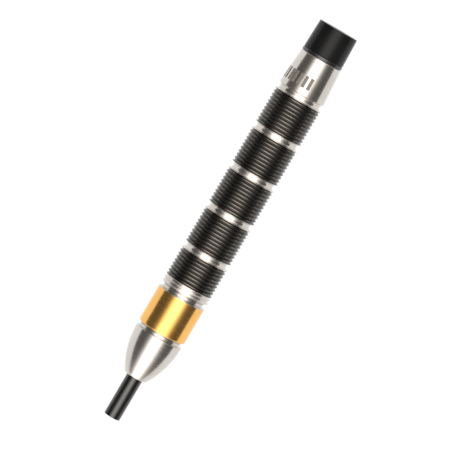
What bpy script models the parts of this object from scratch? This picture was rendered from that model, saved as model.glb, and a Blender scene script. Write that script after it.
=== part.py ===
"""Steel-tip dart barrel with its pressed-in point and its screwed-in stem, lying on its side.

The dart's axis runs along +X, from the point to the stem, and the widest rings touch Z = 0.
Lengths along the axis are counted from the point's free end.
"""
import math

import bpy

MM = 0.001
SEGMENTS = 24                    # flats round each turned piece
MERGE = 1e-6                     # merge distance of the turned pieces, in metres
FIT_GAP = 0.03                   # gap between pieces that touch, in mm
SHARP_ANGLE = math.radians(30)

# Lengths along the axis, in mm.
POINT_SHOWING = 6.40
NOSE_LENGTH = 6.45
NOSE_BEVEL = 0.23
NOSE_GROOVE = 0.31
COLLAR_RAMP = 0.36
COLLAR_LENGTH = 5.31
NECK_RAMP = 0.31
NECK_GROOVE = 0.28
FIRST_RING_RAMP = 0.39
RING_PITCH = 0.525
RING_FLOOR = 0.15
RINGS_PER_BAND = 10
BANDS = 5
BAND_GROOVE = 1.05
TAIL_GROOVE = 0.91
TAIL_CHAMFER = 0.10
TAIL_LENGTH = 5.35
O_RING_THICKNESS = 0.45
O_RING_STEPS = 4
STEM_SHOWING = 4.18

# Radii, in mm.
POINT_R = 1.18
NOSE_TIP_R = 1.66
NOSE_R = 3.50
NOSE_GROOVE_R = 3.12
COLLAR_R = 3.54
NECK_R = 3.07
RING_CREST_R = 3.56
RING_VALLEY_R = 3.36
BAND_GROOVE_R = 3.10
TAIL_EDGE_R = 3.32
TAIL_FRONT_R = 3.42
TAIL_END_R = 3.06
O_RING_R = 3.06
STEM_FRONT_R = 3.01
STEM_END_R = 2.88

# The stem's thread is 2BA. It is drawn here as a plain stud in a plain bore.
THREAD_R = 2.35
THREAD_PITCH = 0.81
THREAD_TURNS = 7
THREAD_CLEARANCE = 0.06
STUD_TIP_CHAMFER = 0.30

# Bores in the barrel and the hidden end of the point, in mm.
POINT_SHANK = 9.0
POINT_BORE = 9.6
STEM_BORE = 8.5
DRILL_HALF_ANGLE = math.radians(59)
GLUE_GROOVES = 3
GLUE_GROOVE_PITCH = 2.0
GLUE_GROOVE_WIDTH = 0.6
GLUE_GROOVE_DEPTH = 0.12
EDGE = 0.08                      # small chamfer on free ends

BAND_LENGTH = RING_PITCH * RINGS_PER_BAND
BARREL_START = POINT_SHOWING
NOSE_END = BARREL_START + NOSE_LENGTH
COLLAR_START = NOSE_END + NOSE_BEVEL + NOSE_GROOVE + COLLAR_RAMP
COLLAR_END = COLLAR_START + COLLAR_LENGTH
FIRST_BAND = COLLAR_END + NECK_RAMP + NECK_GROOVE + FIRST_RING_RAMP
LAST_BAND_END = FIRST_BAND + BANDS * BAND_LENGTH + (BANDS - 1) * BAND_GROOVE
TAIL_START = LAST_BAND_END + TAIL_GROOVE
BARREL_END = TAIL_START + TAIL_LENGTH
STEM_START = BARREL_END + O_RING_THICKNESS + 2 * FIT_GAP
LENGTH = STEM_START + STEM_SHOWING

COLOURS = {
    "bare_tungsten": ((0.62, 0.60, 0.57, 1.0), 0.22, 1.0),
    "black_steel": ((0.02, 0.02, 0.021, 1.0), 0.35, 0.6),
    "black_rubber": ((0.015, 0.015, 0.015, 1.0), 0.7, 0.0),
    "black_nylon": ((0.03, 0.03, 0.03, 1.0), 0.5, 0.0),
}


def clear_scene():
    for obj in list(bpy.data.objects):
        bpy.data.objects.remove(obj, do_unlink=True)


def make_material(name):
    colour, roughness, metallic = COLOURS[name]
    material = bpy.data.materials.new(name)
    material.use_nodes = True
    shader = material.node_tree.nodes["Principled BSDF"]
    shader.inputs["Base Color"].default_value = colour
    shader.inputs["Roughness"].default_value = roughness
    shader.inputs["Metallic"].default_value = metallic
    return material


def arc_groove(start, end, start_r, end_r, floor_r, steps):
    """Points of a round-bottomed groove: a sine-shaped dip between two edges, both left out."""
    points = []
    for i in range(1, steps):
        share = i / steps
        edge_r = start_r + (end_r - start_r) * share
        dip = math.sqrt(math.sin(math.pi * share))
        points.append((start + (end - start) * share, edge_r + (floor_r - edge_r) * dip))
    return points


def nose_curve(steps):
    """The bullet-shaped nose: one arc that ends level with the axis at its wide end."""
    drop = NOSE_R - NOSE_TIP_R
    arc_r = (NOSE_LENGTH ** 2 + drop ** 2) / (2 * drop)
    points = []
    for i in range(steps + 1):
        back = NOSE_LENGTH * (1 - i / steps)
        points.append((NOSE_END - back, NOSE_R - arc_r + math.sqrt(arc_r ** 2 - back ** 2)))
    return points


def ring_band(start):
    """One band of turned rings: crests at both ends and a flat-floored groove between each two."""
    points = [(start, RING_CREST_R)]
    for ring in range(RINGS_PER_BAND):
        valley = start + (ring + 0.5) * RING_PITCH
        points.append((valley - RING_FLOOR / 2, RING_VALLEY_R))
        points.append((valley + RING_FLOOR / 2, RING_VALLEY_R))
        points.append((valley + RING_PITCH / 2, RING_CREST_R))
    return points


def barrel_outside():
    """The outside of the barrel from nose to tail, as (length, radius) pairs."""
    points = nose_curve(8)
    bevel_end = NOSE_END + NOSE_BEVEL
    points.append((bevel_end, NOSE_GROOVE_R))
    points.append((bevel_end + NOSE_GROOVE, NOSE_GROOVE_R))
    points.append((COLLAR_START, COLLAR_R))
    points.append((COLLAR_END, COLLAR_R))
    points.append((COLLAR_END + NECK_RAMP, NECK_R))
    points.append((COLLAR_END + NECK_RAMP + NECK_GROOVE, NECK_R))
    start = FIRST_BAND
    for band in range(BANDS):
        points += ring_band(start)
        end = start + BAND_LENGTH
        start = end + BAND_GROOVE
        if band < BANDS - 1:
            points += arc_groove(end, start, RING_CREST_R, RING_CREST_R, BAND_GROOVE_R, 6)
    points += arc_groove(LAST_BAND_END, TAIL_START, RING_CREST_R, TAIL_EDGE_R, BAND_GROOVE_R, 6)
    points.append((TAIL_START, TAIL_EDGE_R))
    points.append((TAIL_START + TAIL_CHAMFER, TAIL_FRONT_R))
    points.append((BARREL_END - EDGE, TAIL_END_R))
    points.append((BARREL_END, TAIL_END_R - EDGE))
    return points


def drill_tip(radius):
    """The depth of the cone that a drill leaves at the end of a bore."""
    return radius / math.tan(DRILL_HALF_ANGLE)


def shaded(obj):
    """Apply the turning, then shade round surfaces smooth and leave the turned edges sharp."""
    graph = bpy.context.evaluated_depsgraph_get()
    mesh = bpy.data.meshes.new_from_object(obj.evaluated_get(graph))
    mesh.name = obj.name
    outline = obj.data
    obj.modifiers.clear()
    obj.data = mesh
    bpy.data.meshes.remove(outline)
    mesh.shade_smooth()
    mesh.set_sharp_from_angle(angle=SHARP_ANGLE)
    return obj


def turned(name, outline, material, collection):
    """Turn an outline of (length, radius) pairs, given from the stem side to the point side."""
    half_flat = math.pi / SEGMENTS
    corner = MM / math.cos(half_flat)
    verts = []
    for length, radius in outline:
        place = (length - LENGTH / 2) * MM
        across = radius * corner
        verts.append((across * math.cos(half_flat), across * math.sin(half_flat), place))
    edges = [(i, i + 1) for i in range(len(verts) - 1)]
    if outline[0][1] > 0:
        edges.append((len(verts) - 1, 0))
    mesh = bpy.data.meshes.new(name)
    mesh.from_pydata(verts, edges, [])
    mesh.materials.append(material)
    obj = bpy.data.objects.new(name, mesh)
    collection.objects.link(obj)
    obj.location = (0.0, 0.0, RING_CREST_R * MM)
    obj.rotation_euler = (0.0, math.pi / 2, 0.0)
    screw = obj.modifiers.new("turn", "SCREW")
    screw.axis = "Z"
    screw.angle = math.tau
    screw.steps = SEGMENTS
    screw.render_steps = SEGMENTS
    screw.use_merge_vertices = True
    screw.merge_threshold = MERGE
    return shaded(obj)


def make_barrel(material, collection):
    bore_r = THREAD_R + THREAD_CLEARANCE
    hole_r = POINT_R + FIT_GAP
    bore_end = BARREL_END - STEM_BORE
    hole_end = BARREL_START + POINT_BORE
    outline = [(bore_end - drill_tip(bore_r), 0.0), (bore_end, bore_r), (BARREL_END, bore_r)]
    outline += reversed(barrel_outside())
    outline += [(BARREL_START, hole_r), (hole_end, hole_r), (hole_end + drill_tip(hole_r), 0.0)]
    return turned("barrel", outline, material, collection)


def make_point(material, collection):
    top = BARREL_START + POINT_SHANK
    outline = [(top, 0.0), (top, POINT_R - 2 * EDGE), (top - 2 * EDGE, POINT_R)]
    groove = top - 1.5 * GLUE_GROOVE_PITCH
    for _ in range(GLUE_GROOVES):
        outline.append((groove, POINT_R))
        outline.append((groove - GLUE_GROOVE_DEPTH, POINT_R - GLUE_GROOVE_DEPTH))
        outline.append((groove - GLUE_GROOVE_WIDTH + GLUE_GROOVE_DEPTH, POINT_R - GLUE_GROOVE_DEPTH))
        outline.append((groove - GLUE_GROOVE_WIDTH, POINT_R))
        groove -= GLUE_GROOVE_PITCH
    outline += [(EDGE / 2, POINT_R), (0.0, POINT_R - EDGE / 2), (0.0, 0.0)]
    return turned("point", outline, material, collection)


def make_o_ring(material, collection):
    """A rubber ring squashed between the barrel and the stem, so its outer side bulges."""
    inner_r = THREAD_R + THREAD_CLEARANCE
    front = BARREL_END + FIT_GAP
    back = front + O_RING_THICKNESS
    bulge = O_RING_THICKNESS / 2
    outline = [(back, inner_r)]
    for i in range(O_RING_STEPS + 1):
        turn = math.pi * i / O_RING_STEPS
        outline.append((front + bulge + bulge * math.cos(turn), O_RING_R - bulge + bulge * math.sin(turn)))
    outline.append((front, inner_r))
    return turned("o_ring", outline, material, collection)


def make_stem(material, collection):
    stud_end = BARREL_END - THREAD_PITCH * THREAD_TURNS
    outline = [
        (LENGTH, 0.0),
        (LENGTH, STEM_END_R - EDGE),
        (LENGTH - EDGE, STEM_END_R),
        (STEM_START + EDGE, STEM_FRONT_R),
        (STEM_START, STEM_FRONT_R - EDGE),
        (STEM_START, THREAD_R),
        (stud_end + STUD_TIP_CHAMFER, THREAD_R),
        (stud_end, THREAD_R - STUD_TIP_CHAMFER),
        (stud_end, 0.0),
    ]
    return turned("stem", outline, material, collection)


def main():
    clear_scene()
    parts = bpy.data.collections.new("dart_barrel")
    bpy.context.scene.collection.children.link(parts)
    make_barrel(make_material("bare_tungsten"), parts)
    make_point(make_material("black_steel"), parts)
    make_o_ring(make_material("black_rubber"), parts)
    make_stem(make_material("black_nylon"), parts)


main()
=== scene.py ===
"""Looks of a steel-tip dart barrel: a turned tungsten body with black and gold coatings, and its
point, rubber ring and stem.

The dart lies along +X on the floor, point first. Lengths along its axis are in mm from the point's free
end, and radii are in mm. Everything is turned to metres when its mesh is built.
"""
import math

import bmesh
import bpy
from mathutils import Matrix, Vector


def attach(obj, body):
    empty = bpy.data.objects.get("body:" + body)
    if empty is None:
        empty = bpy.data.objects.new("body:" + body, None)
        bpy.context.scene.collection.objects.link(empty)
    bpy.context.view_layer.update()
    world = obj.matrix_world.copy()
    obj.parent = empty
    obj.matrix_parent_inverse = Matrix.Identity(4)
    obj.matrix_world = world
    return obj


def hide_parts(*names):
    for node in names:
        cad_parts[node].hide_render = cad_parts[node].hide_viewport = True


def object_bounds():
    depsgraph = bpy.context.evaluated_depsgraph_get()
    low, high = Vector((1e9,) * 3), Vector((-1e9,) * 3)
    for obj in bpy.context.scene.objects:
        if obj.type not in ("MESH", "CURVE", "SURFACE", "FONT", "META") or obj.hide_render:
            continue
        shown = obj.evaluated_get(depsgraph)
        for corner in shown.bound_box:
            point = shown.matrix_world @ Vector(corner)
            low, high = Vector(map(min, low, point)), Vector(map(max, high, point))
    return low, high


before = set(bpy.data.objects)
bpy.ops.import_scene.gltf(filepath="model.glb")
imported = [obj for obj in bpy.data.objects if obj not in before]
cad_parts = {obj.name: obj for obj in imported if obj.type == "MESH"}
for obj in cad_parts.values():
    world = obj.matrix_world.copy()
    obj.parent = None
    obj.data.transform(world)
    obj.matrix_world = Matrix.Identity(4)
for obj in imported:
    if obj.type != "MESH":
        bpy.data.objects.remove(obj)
cad_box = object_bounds()

MM = 0.001
POINT_END_X = cad_box[0].x
AXIS_Z = (cad_box[0].z + cad_box[1].z) / 2
SEGMENTS = 128                   # faces round every turned piece
SHARP_ANGLE = math.radians(33)

# The nose, the collar and the neck.
POINT_R = 1.18
NOSE_START = 6.40
NOSE_LENGTH = 6.45
NOSE_STEPS = 36
NOSE_TIP_R = 1.66
NOSE_TIP_CHAMFER = 0.05
NOSE_R = 3.50
NOSE_LAND = (0.07, 0.01)         # length and drop of the step before the nose's bevel
NOSE_LAND_ROUNDING = 0.03
NOSE_BEVEL = 0.23
NOSE_GROOVE = 0.31
NOSE_GROOVE_R = 3.12
NOSE_GROOVE_ROUNDING = 0.08
COLLAR_RAMP = 0.36
COLLAR_LENGTH = 5.31
COLLAR_R = 3.54
COLLAR_ROUNDING = 0.12
COLLAR_FRONT = 0.5               # length of the collar's front, which has its own row of faces
COLLAR_BACK = 0.03               # bare metal behind the gold
NECK_RAMP = 0.31
NECK_GROOVE = 0.28
NECK_R = 3.07
NECK_ROUNDING = 0.1

# The ringed bands and the grooves between them.
FIRST_RING_RAMP = 0.39
RING_PITCH = 0.525
RING_FLOOR = 0.15
RINGS_PER_BAND = 10
RING_CREST_R = 3.56
RING_VALLEY_R = 3.36
CREST_ROUNDING = 0.05
VALLEY_ROUNDING = 0.07
BANDS = 5
BARE_RINGS = 2                   # rings of the first band that carry no black coating
BAND_GROOVE = 1.05
BAND_GROOVE_R = 3.10
BAND_GROOVE_STEPS = 16

# The coatings. The metal under them is lower by the coat's thickness, and a little more on edges.
COAT = 0.012
COAT_INSIDE = 0.8                # how far a coat's inner side is from its outer side, in coats
CREST_DROP = 1.6                 # how far the rings' crests are lowered, in coats
COLLAR_EDGE_DROP = 1.4           # how far the collar's front edge is lowered, in coats
GOLD_LIP = (0.13, 0.151)         # how far the gold reaches down the collar's ramp, along and inwards

# The tail.
TAIL_GROOVE = 0.91
TAIL_GROOVE_STEPS = 14
TAIL_EDGE_R = 3.32
TAIL_CHAMFER = 0.10
TAIL_FRONT_R = 3.42
TAIL_LENGTH = 5.35
TAIL_END_R = 3.06
TAIL_END_CHAMFER = 0.08
TAIL_ROWS = (0.25, 1.5)          # extra rows of faces, from the tail's front and from its end

# The bores, the thread, the rubber ring and the stem.
POINT_GAP = 0.03
POINT_BORE = 9.6
POINT_SHANK = 9.0
STEM_BORE = 8.5
BORE_CHAMFER = 0.06
DRILL_HALF_ANGLE = math.radians(59)
THREAD_R = 2.33
THREAD_PITCH = 0.81
THREAD_DEPTH = 0.48
THREAD_TURNS = 7
THREAD_GAP = 0.05
THREAD_ROWS = 10                 # rows of faces to one pitch of thread
THREAD_MOUTH = (0.25, 0.12)      # length and extra radius of the cone where the threaded bore opens
THREAD_RUNOUT = 0.4
O_RING_GAP = 0.03
O_RING_THICKNESS = 0.45
O_RING_R = 3.06
O_RING_BULGE = 0.17
O_RING_STEPS = 16
O_RING_SQUARE = (0.6, 0.45)      # powers below 1 that flatten its sides and its outside
O_RING_HOLE_R = 2.41
STEM_FRONT_R = 3.01
STEM_END_R = 2.88

BAND_LENGTH = RING_PITCH * RINGS_PER_BAND
NOSE_END = NOSE_START + NOSE_LENGTH
COLLAR_START = NOSE_END + NOSE_BEVEL + NOSE_GROOVE + COLLAR_RAMP
COLLAR_END = COLLAR_START + COLLAR_LENGTH
FIRST_BAND = COLLAR_END + NECK_RAMP + NECK_GROOVE + FIRST_RING_RAMP
LAST_BAND_END = FIRST_BAND + BANDS * BAND_LENGTH + (BANDS - 1) * BAND_GROOVE
TAIL_START = LAST_BAND_END + TAIL_GROOVE
BODY_END = TAIL_START + TAIL_LENGTH
STEM_START = BODY_END + O_RING_THICKNESS + 2 * O_RING_GAP
STEM_END = (cad_box[1].x - POINT_END_X) / MM


# ---------------------------------------------------------------- materials

TURNING_SCALE = (16000.0, 250.0, 250.0)      # noise stretched round the axis, as fine turning lines
BLOTCH_SCALE = (300.0, 300.0, 300.0)
LINE_DEPTH = 0.000004                        # of the turning lines, in metres
PAINTED_SHADE_HEIGHTS = (0.02, 0.11)                 # heights over a valley where the painted shade of the crests starts and stops darkening the black


def new_material(name, colour, roughness, metallic=0.0):
    material = bpy.data.materials.new(name)
    material.use_nodes = True
    shader = material.node_tree.nodes["Principled BSDF"]
    shader.inputs["Base Color"].default_value = (*colour, 1.0)
    shader.inputs["Roughness"].default_value = roughness
    shader.inputs["Metallic"].default_value = metallic
    return material, material.node_tree, shader


def link(tree, source, target):
    tree.links.new(source, target)


def socket(sockets, identifier):
    """A mix node has several sockets of one name, and only their identifiers differ."""
    return next(item for item in sockets if item.identifier == identifier)


def math_node(tree, operation, first, second=0.0):
    node = tree.nodes.new("ShaderNodeMath")
    node.operation = operation
    for target, value in zip(node.inputs, (first, second)):
        if isinstance(value, (int, float)):
            target.default_value = value
        else:
            link(tree, value, target)
    return node.outputs["Value"]


def noise(tree, scale, detail):
    """Noise over the piece's own coordinates, with its own scale along each axis."""
    coordinates = tree.nodes.new("ShaderNodeTexCoord")
    mapping = tree.nodes.new("ShaderNodeMapping")
    mapping.inputs["Scale"].default_value = scale
    link(tree, coordinates.outputs["Object"], mapping.inputs["Vector"])
    node = tree.nodes.new("ShaderNodeTexNoise")
    node.inputs["Scale"].default_value = 1.0
    node.inputs["Detail"].default_value = detail
    link(tree, mapping.outputs["Vector"], node.inputs["Vector"])
    return node.outputs["Fac"]


def ramp(tree, value, low, high):
    """Spread the middle of a noise between two numbers or two colours."""
    start, stop = 0.3, 0.7
    if isinstance(low, tuple):
        node = tree.nodes.new("ShaderNodeValToRGB")
        node.color_ramp.elements[0].color = (*low, 1.0)
        node.color_ramp.elements[1].color = (*high, 1.0)
        node.color_ramp.elements[0].position = start
        node.color_ramp.elements[1].position = stop
        link(tree, value, node.inputs["Fac"])
        return node.outputs["Color"]
    node = tree.nodes.new("ShaderNodeMapRange")
    node.inputs["From Min"].default_value = start
    node.inputs["From Max"].default_value = stop
    node.inputs["To Min"].default_value = low
    node.inputs["To Max"].default_value = high
    link(tree, value, node.inputs["Value"])
    return node.outputs["Result"]


def bump(tree, shader, height, strength, distance):
    node = tree.nodes.new("ShaderNodeBump")
    node.inputs["Strength"].default_value = strength
    node.inputs["Distance"].default_value = distance
    link(tree, height, node.inputs["Height"])
    link(tree, node.outputs["Normal"], shader.inputs["Normal"])


def metal(name, colour, smooth, rough, brushed):
    """Metal with fine turning lines and no colour pattern yet. Also returns the noise for faint blotches."""
    material, tree, shader = new_material(name, colour, smooth, 1.0)
    tangent = tree.nodes.new("ShaderNodeTangent")
    tangent.direction_type = "RADIAL"
    tangent.axis = "X"
    link(tree, tangent.outputs["Tangent"], shader.inputs["Tangent"])
    shader.inputs["Anisotropic"].default_value = brushed
    shader.inputs["Anisotropic Rotation"].default_value = 0.25
    lines = noise(tree, TURNING_SCALE, 2.0)
    link(tree, ramp(tree, lines, smooth, rough), shader.inputs["Roughness"])
    bump(tree, shader, lines, 0.5, LINE_DEPTH)
    return material, tree, shader, noise(tree, BLOTCH_SCALE, 4.0)


def turned_metal(name, dark, light, smooth, rough):
    """Metal whose turning lines spread its reflections along the axis, with faint blotches."""
    material, tree, shader, blotches = metal(name, light, smooth, rough, brushed=0.85)
    link(tree, ramp(tree, blotches, dark, light), shader.inputs["Base Color"])
    return material


def bare_tungsten():
    return turned_metal("bare_tungsten", (0.57, 0.53, 0.49), (0.65, 0.615, 0.575), 0.2, 0.3)


def gold_coating():
    return turned_metal("gold_coating", (0.85, 0.465, 0.12), (0.93, 0.525, 0.15), 0.21, 0.31)


def black_steel():
    return turned_metal("black_steel", (0.072, 0.071, 0.069), (0.094, 0.093, 0.091), 0.27, 0.36)


def distance_from_axis(tree):
    """How far a point of the surface is from the dart's axis, in metres."""
    coordinates = tree.nodes.new("ShaderNodeTexCoord")
    split = tree.nodes.new("ShaderNodeSeparateXYZ")
    link(tree, coordinates.outputs["Object"], split.inputs["Vector"])
    height = math_node(tree, "SUBTRACT", split.outputs["Z"], AXIS_Z)
    squares = [math_node(tree, "MULTIPLY", part, part) for part in (split.outputs["Y"], height)]
    return math_node(tree, "SQRT", math_node(tree, "ADD", *squares))


def black_coating():
    """Polished black vapour coating, with painted shade on the rings' crests and a lighter painted reflection
    in their valleys.
    """
    painted_valley_reflection = (0.114, 0.105, 0.094)
    material, tree, shader, blotches = metal("black_coating", painted_valley_reflection, 0.04, 0.07, brushed=0.0)
    # The lighter valley colour is a painted reflection of the softbox, and the much darker crest colour is
    # painted shade; they blend by height over the valley.
    valley = ramp(tree, blotches, (0.088, 0.081, 0.073), painted_valley_reflection)
    crest = ramp(tree, blotches, (0.019, 0.0174, 0.0153), (0.032, 0.0294, 0.0263))
    painted_shade_blend = tree.nodes.new("ShaderNodeMapRange")
    painted_shade_blend.interpolation_type = "SMOOTHSTEP"
    painted_shade_blend.inputs["From Min"].default_value = (RING_VALLEY_R + PAINTED_SHADE_HEIGHTS[0]) * MM
    painted_shade_blend.inputs["From Max"].default_value = (RING_VALLEY_R + PAINTED_SHADE_HEIGHTS[1]) * MM
    link(tree, distance_from_axis(tree), painted_shade_blend.inputs["Value"])
    mix = tree.nodes.new("ShaderNodeMix")
    mix.data_type = "RGBA"
    link(tree, painted_shade_blend.outputs["Result"], mix.inputs["Factor"])
    link(tree, valley, socket(mix.inputs, "A_Color"))
    link(tree, crest, socket(mix.inputs, "B_Color"))
    link(tree, socket(mix.outputs, "Result_Color"), shader.inputs["Base Color"])
    return material


def engraved_mark():
    material, tree, shader = new_material("engraved_mark", (0.18, 0.16, 0.13), 0.6, 0.3)
    grain = noise(tree, (9000.0, 9000.0, 9000.0), 2.0)
    link(tree, ramp(tree, grain, (0.13, 0.118, 0.098), (0.22, 0.202, 0.170)), shader.inputs["Base Color"])
    link(tree, ramp(tree, grain, 0.5, 0.75), shader.inputs["Roughness"])
    return material


def black_nylon():
    material, tree, shader = new_material("black_nylon", (0.008, 0.008, 0.008), 0.42)
    shader.inputs["Specular IOR Level"].default_value = 0.18
    grain = noise(tree, (2500.0, 2500.0, 2500.0), 4.0)
    shade = noise(tree, BLOTCH_SCALE, 3.0)
    link(tree, ramp(tree, shade, (0.004, 0.004, 0.004), (0.008, 0.008, 0.008)), shader.inputs["Base Color"])
    link(tree, ramp(tree, grain, 0.2, 0.3), shader.inputs["Roughness"])
    bump(tree, shader, grain, 0.3, 0.00001)
    return material


def black_rubber():
    material, tree, shader = new_material("black_rubber", (0.012, 0.012, 0.012), 0.55)
    shader.inputs["Specular IOR Level"].default_value = 0.9
    grain = noise(tree, (6000.0, 6000.0, 6000.0), 3.0)
    link(tree, ramp(tree, grain, (0.005, 0.005, 0.005), (0.01, 0.01, 0.01)), shader.inputs["Base Color"])
    link(tree, ramp(tree, grain, 0.14, 0.22), shader.inputs["Roughness"])
    bump(tree, shader, grain, 0.3, 0.000004)
    return material


# ---------------------------------------------------------------- turned shapes

def rounded(corners, steps=3):
    """An outline from (length, radius, rounding) corners, each corner turned into a short curve."""
    points = []
    last = len(corners) - 1
    for i, (length, radius, rounding) in enumerate(corners):
        here = Vector((length, radius))
        if rounding <= 0 or i in (0, last):
            points.append((length, radius))
            continue
        back = Vector(corners[i - 1][:2]) - here
        on = Vector(corners[i + 1][:2]) - here
        reach = min(rounding, back.length / 2, on.length / 2)
        start = here + back.normalized() * reach
        end = here + on.normalized() * reach
        for step in range(steps + 1):
            t = step / steps
            spot = start * (1 - t) ** 2 + here * 2 * t * (1 - t) + end * t ** 2
            points.append((spot.x, spot.y))
    return tidied(points)


def tidied(points):
    """The outline without points that repeat the one before."""
    kept = [points[0]]
    for point in points[1:]:
        if (Vector(point) - Vector(kept[-1])).length > 1e-5:
            kept.append(point)
    return kept


def ring_vertices(mesh, row):
    """One row of a turned mesh: a point on the axis, a circle, or a ring whose radius changes round it."""
    length, radius = row
    x = POINT_END_X + length * MM
    if radius == 0:
        return [mesh.verts.new((x, 0.0, AXIS_Z))]
    ring = []
    for k in range(SEGMENTS):
        turn = math.tau * k / SEGMENTS
        here = radius(turn) if callable(radius) else radius
        ring.append(mesh.verts.new((x, here * MM * math.cos(turn), AXIS_Z + here * MM * math.sin(turn))))
    return ring


def join_rings(mesh, first, second):
    """Faces between two rows, either of which may be a single point on the axis."""
    faces = []
    for k in range(SEGMENTS):
        after = (k + 1) % SEGMENTS
        if len(first) == 1:
            corners = (first[0], second[k], second[after])
        elif len(second) == 1:
            corners = (first[after], first[k], second[0])
        else:
            corners = (first[k], second[k], second[after], first[after])
        faces.append(mesh.faces.new(corners))
    return faces


def turned(name, rows, materials, closed=False, detail=None):
    """A closed turned mesh. Rows are (length, radius); detail may change the bmesh before it is finished."""
    mesh = bmesh.new()
    rings = [ring_vertices(mesh, row) for row in rows]
    strips = [join_rings(mesh, a, b) for a, b in zip(rings, rings[1:])]
    if closed:
        strips.append(join_rings(mesh, rings[-1], rings[0]))
    if detail:
        detail(mesh, rows, rings, strips)
    bmesh.ops.recalc_face_normals(mesh, faces=mesh.faces)
    for face in mesh.faces:
        face.smooth = True
    for edge in mesh.edges:
        edge.smooth = edge.calc_face_angle() < SHARP_ANGLE
    data = bpy.data.meshes.new(name)
    mesh.to_mesh(data)
    mesh.free()
    for material in materials:
        data.materials.append(material)
    obj = bpy.data.objects.new(name, data)
    bpy.context.scene.collection.objects.link(obj)
    return obj


# ---------------------------------------------------------------- the barrel

def nose_curve():
    """The arc of the nose, which ends along the axis."""
    drop = NOSE_R - NOSE_TIP_R
    arc_r = (NOSE_LENGTH ** 2 + drop ** 2) / (2 * drop)
    points = []
    for i in range(NOSE_STEPS + 1):
        back = NOSE_LENGTH * (1 - i / NOSE_STEPS)
        points.append((NOSE_END - back, NOSE_R - arc_r + math.sqrt(arc_r ** 2 - back ** 2)))
    return points


def ring_corners(start, first, last, drop=0.0):
    """Corners of the rings numbered first to last in a band, lowered by drop."""
    crest_r = RING_CREST_R - CREST_DROP * drop
    valley_r = RING_VALLEY_R - drop
    corners = []
    for ring in range(first, last):
        crest = start + ring * RING_PITCH
        valley = crest + RING_PITCH / 2
        corners.append((crest, crest_r, CREST_ROUNDING))
        corners.append((valley - RING_FLOOR / 2, valley_r, VALLEY_ROUNDING))
        corners.append((valley + RING_FLOOR / 2, valley_r, VALLEY_ROUNDING))
    corners.append((start + last * RING_PITCH, crest_r, CREST_ROUNDING))
    return corners


def groove_curve(start, end, end_r, steps):
    """A round groove from a ring's crest to an edge of radius end_r."""
    points = []
    for i in range(1, steps):
        share = i / steps
        edge_r = RING_CREST_R + (end_r - RING_CREST_R) * share
        dip = math.sqrt(math.sin(math.pi * share))
        points.append((start + (end - start) * share, edge_r + (BAND_GROOVE_R - edge_r) * dip))
    return points


def thread_radius(length, gap=0.0, share=1.0):
    """The radius of the thread as a function of the turn, at one length along the axis."""
    root = THREAD_R - THREAD_DEPTH + gap

    def radius(turn):
        wave = 0.5 + 0.5 * math.cos(math.tau * length / THREAD_PITCH - turn)
        return root + THREAD_DEPTH * share * wave
    return radius


def drill_tip(radius):
    return radius / math.tan(DRILL_HALF_ANGLE)


def band_starts():
    """Where each band starts, and the number of rings at its front that stay bare."""
    return [(FIRST_BAND + band * (BAND_LENGTH + BAND_GROOVE), 0 if band else BARE_RINGS)
            for band in range(BANDS)]


MARK_BARS = 7                    # a plain hatch of equal bars along the axis
MARK_FACES = 3                   # faces of the mesh across one bar
MARK_PITCH = 5                   # faces from one bar to the next
MARK_ENDS = (0.95, 2.65)         # both ends of each bar, from the tail's front
MARK_TURN = math.radians(9)      # where the first bar stands, from +Y round towards +Z
MARK_DEPTH = 0.03


def lowered(mesh, vertex, depth):
    """A new vertex that many metres nearer to the dart's axis."""
    outward = Vector((0, vertex.co.y, vertex.co.z - AXIS_Z)).normalized()
    return mesh.verts.new(vertex.co - outward * depth)


def engrave(mesh, rows, rings, strips):
    """Sink a plain hatch of bars into the tail."""
    first = round(MARK_TURN / (math.tau / SEGMENTS))
    front = next(i for i, row in enumerate(rows) if abs(row[0] - TAIL_START - MARK_ENDS[0]) < 1e-4)
    for bar in range(MARK_BARS):
        places = [(first + bar * MARK_PITCH + k) % SEGMENTS for k in range(MARK_FACES + 1)]
        rim = [rings[front][k] for k in places] + [rings[front + 1][k] for k in reversed(places)]
        bmesh.ops.delete(mesh, geom=[strips[front][k] for k in places[:-1]], context="FACES")
        sunk = [lowered(mesh, vertex, MARK_DEPTH * MM) for vertex in rim]
        made = []
        for k in range(len(rim)):
            made.append(mesh.faces.new((rim[k - 1], rim[k], sunk[k], sunk[k - 1])))
        for k in range(MARK_FACES):
            made.append(mesh.faces.new((sunk[k], sunk[k + 1], sunk[-2 - k], sunk[-1 - k])))
        for face in made:
            face.material_index = 1


def point_bore_rows():
    """The bore for the point, from its drilled bottom to the nose's small end."""
    hole_r = POINT_R + POINT_GAP
    hole_end = NOSE_START + POINT_BORE
    return [
        (hole_end + drill_tip(hole_r), 0),
        (hole_end, hole_r),
        (NOSE_START + BORE_CHAMFER, hole_r),
        (NOSE_START, hole_r + BORE_CHAMFER),
        (NOSE_START, NOSE_TIP_R - NOSE_TIP_CHAMFER),
    ]


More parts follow.
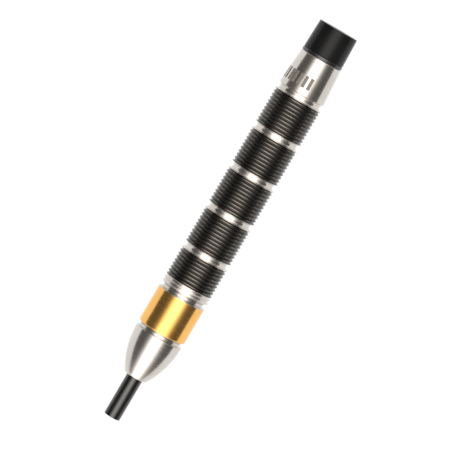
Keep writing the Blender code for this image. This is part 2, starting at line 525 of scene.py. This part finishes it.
def collar_rows():
    """The nose's bevel and groove, the collar, and the neck up to the first ring."""
    bevel_end = NOSE_END + NOSE_BEVEL
    front = rounded([
        (NOSE_END, NOSE_R, 0),
        (NOSE_END + NOSE_LAND[0], NOSE_R - NOSE_LAND[1], NOSE_LAND_ROUNDING),
        (bevel_end, NOSE_GROOVE_R, NOSE_GROOVE_ROUNDING),
        (bevel_end + NOSE_GROOVE, NOSE_GROOVE_R, NOSE_GROOVE_ROUNDING),
        (COLLAR_START, COLLAR_R - COLLAR_EDGE_DROP * COAT, COLLAR_ROUNDING),
        (COLLAR_START + COLLAR_FRONT, COLLAR_R - COAT, 0),
    ])[1:]
    neck = rounded([
        (COLLAR_END + COLLAR_BACK, COLLAR_R, 0),
        (COLLAR_END + NECK_RAMP, NECK_R, NECK_ROUNDING),
        (COLLAR_END + NECK_RAMP + NECK_GROOVE, NECK_R, NECK_ROUNDING),
        (FIRST_BAND, RING_CREST_R, CREST_ROUNDING),
        (FIRST_BAND + RING_PITCH / 2, RING_VALLEY_R, 0),
    ])[:-1]
    return front + [(COLLAR_END, COLLAR_R - COAT)] + neck


def band_rows():
    """The bare rings, the metal under the coated rings, and the grooves between the bands."""
    starts = band_starts()
    rows = rounded(ring_corners(FIRST_BAND, 0, BARE_RINGS))[1:-1]
    for band, (start, bare) in enumerate(starts):
        covered = ring_corners(start, bare, RINGS_PER_BAND, COAT)
        rows += [(length, radius) for length, radius, _ in covered]
        if band < BANDS - 1:
            after = starts[band + 1][0]
            rows += groove_curve(start + BAND_LENGTH, after, RING_CREST_R, BAND_GROOVE_STEPS)
    rows += groove_curve(LAST_BAND_END, TAIL_START, TAIL_EDGE_R, TAIL_GROOVE_STEPS)
    return rows


def tail_rows():
    """The tail, with rows of the mesh near its ends and at both ends of the engraved bars."""
    taper_start = TAIL_START + TAIL_CHAMFER
    taper_end = BODY_END - TAIL_END_CHAMFER
    stops = [taper_start, TAIL_START + TAIL_ROWS[0]]
    stops += [TAIL_START + end for end in MARK_ENDS]
    stops += [BODY_END - TAIL_ROWS[1], taper_end]
    rows = [(TAIL_START, TAIL_EDGE_R)]
    for stop in stops:
        share = (stop - taper_start) / (taper_end - taper_start)
        rows.append((stop, TAIL_FRONT_R + (TAIL_END_R - TAIL_FRONT_R) * share))
    rows.append((BODY_END, TAIL_END_R - TAIL_END_CHAMFER))
    return rows


def stem_bore_rows():
    """The threaded bore, from its mouth to its drilled bottom."""
    rows = [(BODY_END, THREAD_R + THREAD_GAP + THREAD_MOUTH[1])]
    thread_start = BODY_END - THREAD_MOUTH[0]
    thread_end = BODY_END - STEM_BORE
    count = round((thread_start - thread_end) / THREAD_PITCH * THREAD_ROWS)
    for i in range(count + 1):
        length = thread_start + (thread_end - thread_start) * i / count
        rows.append((length, thread_radius(length, THREAD_GAP)))
    core_r = THREAD_R - THREAD_DEPTH + THREAD_GAP
    bottom = thread_end - THREAD_RUNOUT
    return rows + [(bottom, core_r), (bottom - drill_tip(core_r), 0)]


def make_barrel():
    rows = point_bore_rows() + nose_curve()[1:] + collar_rows() + band_rows() + tail_rows() + stem_bore_rows()
    barrel = turned("barrel_billet", rows, [bare_tungsten(), engraved_mark()], detail=engrave)
    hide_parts("barrel")
    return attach(barrel, "barrel")


def coat_rows(outer, inner):
    """A coating's closed outline: its outer side one way and its inner side back."""
    return list(outer) + [(length, radius) for length, radius in reversed(inner)]


def make_black_coats():
    material = black_coating()
    for band, (start, bare) in enumerate(band_starts()):
        outer = rounded(ring_corners(start, bare, RINGS_PER_BAND))
        lowered = ring_corners(start, bare, RINGS_PER_BAND, COAT_INSIDE * COAT)
        inner = [(length, radius) for length, radius, _ in lowered]
        coat = turned(f"black_coat_{band + 1}", coat_rows(outer, inner), [material], closed=True)
        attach(coat, "barrel")


def make_gold_coat():
    outer = rounded([
        (COLLAR_START - GOLD_LIP[0], COLLAR_R - GOLD_LIP[1], 0),
        (COLLAR_START, COLLAR_R, COLLAR_ROUNDING),
        (COLLAR_START + COLLAR_FRONT, COLLAR_R, 0),
    ], steps=5)[:-1]
    outer.append((COLLAR_END, COLLAR_R))
    inner = [(length, radius - COAT_INSIDE * COAT) for length, radius in outer]
    coat = turned("gold_coat", coat_rows(outer, inner), [gold_coating()], closed=True)
    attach(coat, "barrel")


# ---------------------------------------------------------------- point, ring and stem

POINT_ROUNDING = 0.05
GLUE_GROOVES = (7.0, 5.0, 3.0)   # fronts of the point's glue grooves, from its hidden end
GLUE_GROOVE_WIDTH = 0.6
GLUE_GROOVE_DEPTH = 0.12
GLUE_GROOVE_ROUNDING = 0.03
SHANK_CHAMFER = 0.16


def make_point():
    top = NOSE_START + POINT_SHANK
    corners = [(0.0, 0.0, 0), (0.0, POINT_R, POINT_ROUNDING)]
    for back in GLUE_GROOVES:
        groove = top - back
        corners += [
            (groove, POINT_R, GLUE_GROOVE_ROUNDING),
            (groove + GLUE_GROOVE_DEPTH, POINT_R - GLUE_GROOVE_DEPTH, POINT_ROUNDING),
            (groove + GLUE_GROOVE_WIDTH - GLUE_GROOVE_DEPTH, POINT_R - GLUE_GROOVE_DEPTH, POINT_ROUNDING),
            (groove + GLUE_GROOVE_WIDTH, POINT_R, GLUE_GROOVE_ROUNDING),
        ]
    corners += [
        (top - SHANK_CHAMFER, POINT_R, POINT_ROUNDING),
        (top, POINT_R - SHANK_CHAMFER, POINT_ROUNDING),
        (top, 0.0, 0),
    ]
    point = turned("point_pin", rounded(corners), [black_steel()])
    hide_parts("point")
    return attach(point, "barrel")


def make_o_ring():
    """A rubber ring squashed between the tail and the stem, so its round section is flattened."""
    front = BODY_END + O_RING_GAP
    back = front + O_RING_THICKNESS
    middle = front + O_RING_THICKNESS / 2
    rows = []
    for i in range(O_RING_STEPS + 1):
        turn = math.pi * i / O_RING_STEPS
        across = math.copysign(abs(math.cos(turn)) ** O_RING_SQUARE[0], math.cos(turn))
        outward = math.sin(turn) ** O_RING_SQUARE[1]
        radius = O_RING_R - O_RING_BULGE + O_RING_BULGE * outward
        rows.append((middle - across * O_RING_THICKNESS / 2, radius))
    rows += [(back, O_RING_HOLE_R + BORE_CHAMFER), (back - BORE_CHAMFER, O_RING_HOLE_R)]
    rows += [(front + BORE_CHAMFER, O_RING_HOLE_R), (front, O_RING_HOLE_R + BORE_CHAMFER)]
    ring = turned("rubber_ring", rows, [black_rubber()], closed=True)
    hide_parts("o_ring")
    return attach(ring, "o_ring")


STUD_CHAMFER = 0.1
STUD_LEAD = 0.15                 # from the stud's tip to the start of its thread
STUD_RELIEF = 0.45               # from the end of its thread to the stem's shoulder
STUD_RUNOUT = 0.05
THREAD_RISE = 0.4                # length over which the thread rises at the tip
THREAD_FADE = 0.25               # length over which it fades at the shoulder
THREAD_LEAST = 0.05              # share of the thread's depth at both ends
STEM_ROUNDING = (0.08, 0.1)      # of the stem's shoulder and of its free end


def stud_rows():
    """The threaded stud, from its tip to the stem's shoulder."""
    tip = BODY_END - THREAD_PITCH * THREAD_TURNS
    root = THREAD_R - THREAD_DEPTH
    rows = [(tip, 0), (tip, root - STUD_CHAMFER), (tip + STUD_CHAMFER, root)]
    first = tip + STUD_LEAD
    last = STEM_START - STUD_RELIEF
    count = round((last - first) / THREAD_PITCH * THREAD_ROWS)
    for i in range(count + 1):
        length = first + (last - first) * i / count
        rise = (length - first) / THREAD_RISE + THREAD_LEAST
        fade = (last - length) / THREAD_FADE + THREAD_LEAST
        rows.append((length, thread_radius(length, 0.0, min(1.0, rise, fade))))
    return rows + [(last + STUD_RUNOUT, root), (STEM_START, root)]


def make_stem():
    shaft = rounded([
        (STEM_START, THREAD_R - THREAD_DEPTH, 0),
        (STEM_START, STEM_FRONT_R, STEM_ROUNDING[0]),
        (STEM_END, STEM_END_R, STEM_ROUNDING[1]),
        (STEM_END, 0.0, 0),
    ])[1:]
    stem = turned("stem_shaft", stud_rows() + shaft, [black_nylon()])
    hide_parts("stem")
    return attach(stem, "stem")


# ---------------------------------------------------------------- stage

CAMERA_HEIGHT = 0.460            # above the dart's axis
CAMERA_FOOT = 0.074              # from the point's free end, along the axis
CAMERA_AIM = Vector((0.03066, -0.00009))
CAMERA_LENS = 270.8
CAMERA_ROLL = math.radians(30.33)


def make_camera():
    """Above the dart and a little past its stem end, turned so the stem points up and to the right."""
    data = bpy.data.cameras.new("camera")
    data.lens = CAMERA_LENS
    data.sensor_width = 36.0
    data.clip_start = 0.01
    data.clip_end = 20.0
    camera = bpy.data.objects.new("camera", data)
    bpy.context.scene.collection.objects.link(camera)
    place = Vector((POINT_END_X + CAMERA_FOOT, 0.0, AXIS_Z + CAMERA_HEIGHT))
    aim = Vector((POINT_END_X + CAMERA_AIM.x, CAMERA_AIM.y, AXIS_Z))
    back = (place - aim).normalized()
    up = Vector((math.cos(CAMERA_ROLL), math.sin(CAMERA_ROLL), 0.0))
    up = (up - back * up.dot(back)).normalized()
    right = up.cross(back)
    turn = Matrix((right, up, back)).transposed()
    camera.matrix_world = Matrix.Translation(place) @ turn.to_4x4()
    bpy.context.scene.camera = camera


FLOOR_SIZE = 3.0                 # in metres
FLOOR_GLOW = 0.95


def make_floor():
    """A white table lit from below, so it is as bright at the sides as in the middle."""
    mesh = bmesh.new()
    bmesh.ops.create_grid(mesh, x_segments=1, y_segments=1, size=FLOOR_SIZE)
    data = bpy.data.meshes.new("floor")
    mesh.to_mesh(data)
    mesh.free()
    floor = bpy.data.objects.new("floor", data)
    bpy.context.scene.collection.objects.link(floor)
    material, _, shader = new_material("lit_white_table", (0.08, 0.08, 0.08), 0.9)
    shader.inputs["Specular IOR Level"].default_value = 0.0
    shader.inputs["Emission Color"].default_value = (1.0, 1.0, 1.0, 1.0)
    shader.inputs["Emission Strength"].default_value = FLOOR_GLOW
    data.materials.append(material)


PANEL_LIGHT = 0.12               # the dark panels along both sides
STRIP_LIGHT = 2.9                # the long softbox overhead, added to it
STRIP_MIDDLE = -0.04             # where it is brightest, as the sideways part of a direction
STRIP_WIDTH = 0.455
STRIP_EDGE = 3.0                 # a higher power gives the softbox sharper edges
LIGHT_TINT = (1.0, 0.975, 0.945)


def make_light():
    """One long softbox above the dart, in line with it, and dark panels along both sides."""
    world = bpy.data.worlds.new("softbox")
    bpy.context.scene.world = world
    world.use_nodes = True
    tree = world.node_tree
    background = tree.nodes["Background"]
    direction = tree.nodes.new("ShaderNodeTexCoord")
    split = tree.nodes.new("ShaderNodeSeparateXYZ")
    link(tree, direction.outputs["Generated"], split.inputs["Vector"])
    aside = math_node(tree, "ABSOLUTE", math_node(tree, "SUBTRACT", split.outputs["Y"], STRIP_MIDDLE))
    spread = math_node(tree, "POWER", math_node(tree, "DIVIDE", aside, STRIP_WIDTH), STRIP_EDGE)
    strip = math_node(tree, "EXPONENT", math_node(tree, "MULTIPLY", spread, -1.0))
    light = math_node(tree, "ADD", math_node(tree, "MULTIPLY", strip, STRIP_LIGHT), PANEL_LIGHT)
    background.inputs["Color"].default_value = (*LIGHT_TINT, 1.0)
    link(tree, light, background.inputs["Strength"])


bpy.context.scene.view_settings.view_transform = "Standard"
make_camera()
make_floor()
make_light()
make_barrel()
make_black_coats()
make_gold_coat()
make_point()
make_o_ring()
make_stem()
